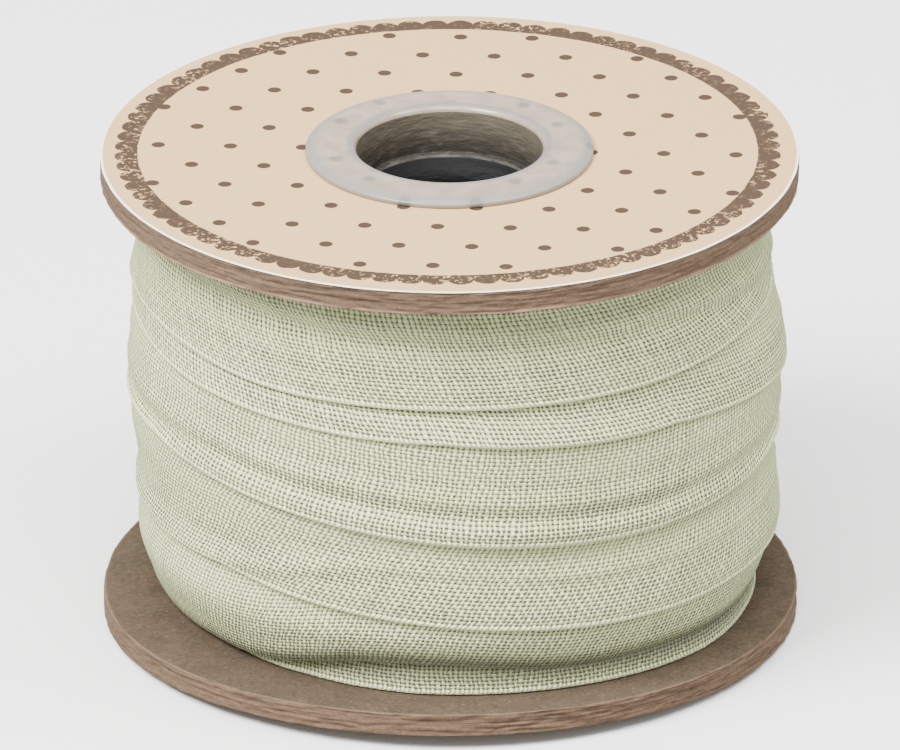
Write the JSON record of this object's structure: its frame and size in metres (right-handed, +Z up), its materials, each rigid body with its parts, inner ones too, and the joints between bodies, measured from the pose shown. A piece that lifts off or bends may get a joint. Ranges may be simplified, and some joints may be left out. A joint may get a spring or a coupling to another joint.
{
  "type": "ribbon spool",
  "caption": "Spool of woven ribbon: board flange discs on a core tube with a telescoping plastic hub, and a free ribbon end that swings off the top turn.",
  "frame": {"origin": "centre of the bottom face of the lower hub flange, which the spool stands on", "axes": "+Z up along the spool's axis; the winding's free end is on the +Y side"},
  "size_m": [0.06, 0.06, 0.0435],
  "materials": {
    "hub": "frosted translucent",
    "board": "raw die-cut greyboard",
    "label": "printed uncoated paper",
    "core": "spiral wound paper tube",
    "ribbon": "plain weave cotton"
  },
  "bodies": {
    "spool": {"lower_hub": "hub", "upper_hub": "hub", "core_tube": "core", "lower_board": "board", "upper_board": "board", "upper_label": "label", "ribbon_underlayers": "ribbon", "ribbon_outer_turns": "ribbon"},
    "ribbon_end": {"ribbon_tail": "ribbon"}
  },
  "joints": [
    {"name": "ribbon_peel", "type": "hinge", "parent": "spool", "child": "ribbon_end", "pos_m": [-0.02447, 0.01439, 0.0352], "axis": [0, 0, 1], "range_deg": [0, 90]}
  ]
}
